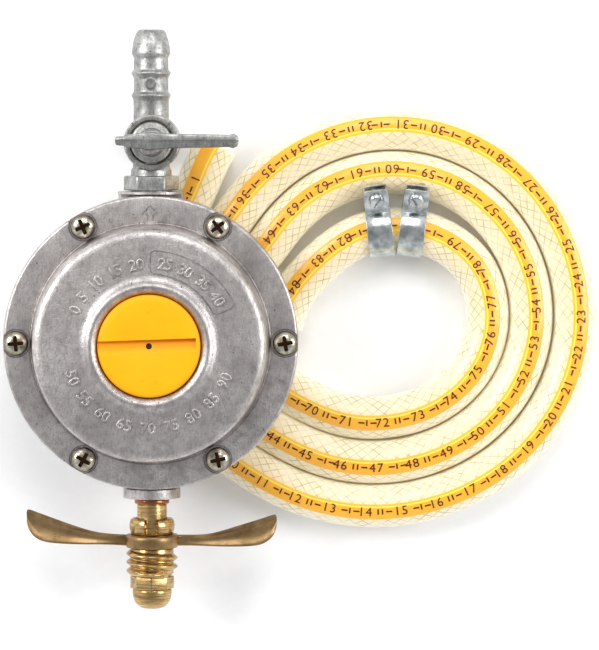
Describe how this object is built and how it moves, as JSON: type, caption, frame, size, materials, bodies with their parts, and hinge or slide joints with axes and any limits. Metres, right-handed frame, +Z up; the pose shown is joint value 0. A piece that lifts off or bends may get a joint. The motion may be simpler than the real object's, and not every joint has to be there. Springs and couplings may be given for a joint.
{
  "type": "gas regulator with hose",
  "caption": "Low-pressure gas regulator with screw-in inlet, wing, outlet tap and hose barb, lying by a coil of braided hose with band clamps.",
  "frame": {"origin": "middle of the regulator over the surface it lies on", "axes": "+Y along the gas line towards the hose barb, +X towards the coiled hose, +Z up out of the cap"},
  "size_m": [0.1668, 0.1624, 0.0454],
  "materials": {
    "zinc_cast": "die-cast zinc, dull with fine pits",
    "yellow_plastic": "yellow moulded plastic, satin",
    "brass": "turned brass",
    "passivated_steel": "yellow-passivated pressed steel",
    "screw_steel": "yellow-passivated steel screw",
    "copper": "copper",
    "rubber": "black rubber",
    "fibre": "vulcanised fibre",
    "spring_steel": "drawn spring steel",
    "plated_steel": "bright zinc-plated steel",
    "clear_pvc": "soft translucent PVC with braid and yellow stripe"
  },
  "bodies": {
    "body": {"lower_body": "zinc_cast", "bonnet": "zinc_cast", "diaphragm": "rubber", "main_spring": "spring_steel", "cover_screw_1": "screw_steel", "cover_screw_2": "screw_steel", "cover_screw_3": "screw_steel", "cover_screw_4": "screw_steel", "cover_screw_5": "screw_steel", "cover_screw_6": "screw_steel", "lever_pin": "spring_steel", "inlet_nozzle": "brass", "rear_plug": "brass", "plug_washer": "fibre", "stem_gasket": "copper", "inlet_stem": "brass", "inlet_filter": "copper", "tap_body": "zinc_cast", "gas_hose": "clear_pvc", "clamp_1_band": "plated_steel", "clamp_1_nut": "plated_steel", "clamp_2_band": "plated_steel", "clamp_2_nut": "plated_steel"},
    "setting_carriage": {"spring_seat": "plated_steel"},
    "setting_cap": {"adjusting_cap": "yellow_plastic"},
    "diaphragm_centre": {"diaphragm_plate": "plated_steel", "diaphragm_stem": "brass"},
    "bell_crank": {"inner_lever": "plated_steel"},
    "valve": {"valve_holder": "brass", "valve_disc": "rubber"},
    "sleeve_carriage": {"thrust_washer": "spring_steel"},
    "sleeve_turning": {"sleeve": "brass", "wing": "passivated_steel"},
    "tap": {"tap_plug": "brass", "tap_seal": "rubber", "tap_washer": "plated_steel", "tap_spring": "spring_steel", "tap_nut": "plated_steel", "tap_lever": "zinc_cast"},
    "clamp_screw_1": {"clamp_1_screw": "plated_steel"},
    "clamp_screw_2": {"clamp_2_screw": "plated_steel"}
  },
  "joints": [
    {"name": "cap_turn", "type": "hinge", "parent": "setting_carriage", "child": "setting_cap", "pos_m": [0, -0.00595, 0.0424], "axis": [0, 0, 1], "range_deg": [-541, 0]},
    {"name": "seat_slide", "type": "slide", "parent": "body", "child": "setting_carriage", "axis": [0, 0, 1], "range_m": [-0.00225, 0], "deforming": ["main_spring"]},
    {"name": "diaphragm_lift", "type": "slide", "parent": "body", "child": "diaphragm_centre", "axis": [0, 0, 1], "range_m": [0, 0.0012], "stiffness_N_per_m": 1500, "springref_m": -0.001, "deforming": ["diaphragm"]},
    {"name": "crank_turn", "type": "hinge", "parent": "body", "child": "bell_crank", "pos_m": [0, -0.01795, 0.019], "axis": [1, 0, 0], "range_deg": [0, 5.8]},
    {"name": "valve_travel", "type": "slide", "parent": "body", "child": "valve", "axis": [0, -1, 0], "range_m": [0, 0.000204]},
    {"name": "sleeve_slide", "type": "slide", "parent": "body", "child": "sleeve_carriage", "axis": [0, 1, 0], "range_m": [0, 0.003]},
    {"name": "wing_turn", "type": "hinge", "parent": "sleeve_carriage", "child": "sleeve_turning", "pos_m": [0, -0.06195, 0.021], "axis": [0, 1, 0], "continuous": true},
    {"name": "tap_turn", "type": "hinge", "parent": "body", "child": "tap", "pos_m": [0.0003, 0.04975, 0.025], "axis": [0, 0, 1], "range_deg": [0, 90]},
    {"name": "clamp_1_turn", "type": "hinge", "parent": "body", "child": "clamp_screw_1", "pos_m": [0.06287, 0.03442, 0.01477], "axis": [0.0686, -0.5838, 0.809], "continuous": true},
    {"name": "clamp_2_turn", "type": "hinge", "parent": "body", "child": "clamp_screw_2", "pos_m": [0.07429, 0.03445, 0.01477], "axis": [-0.0686, -0.5838, 0.809], "continuous": true}
  ],
  "couplings": [
    {"joint": "cap_turn", "follows": "seat_slide", "rad_per_m": 4188.8},
    {"joint": "crank_turn", "follows": "diaphragm_lift", "rad_per_m": 83.333},
    {"joint": "valve_travel", "follows": "diaphragm_lift", "ratio": 0.16667}
  ]
}
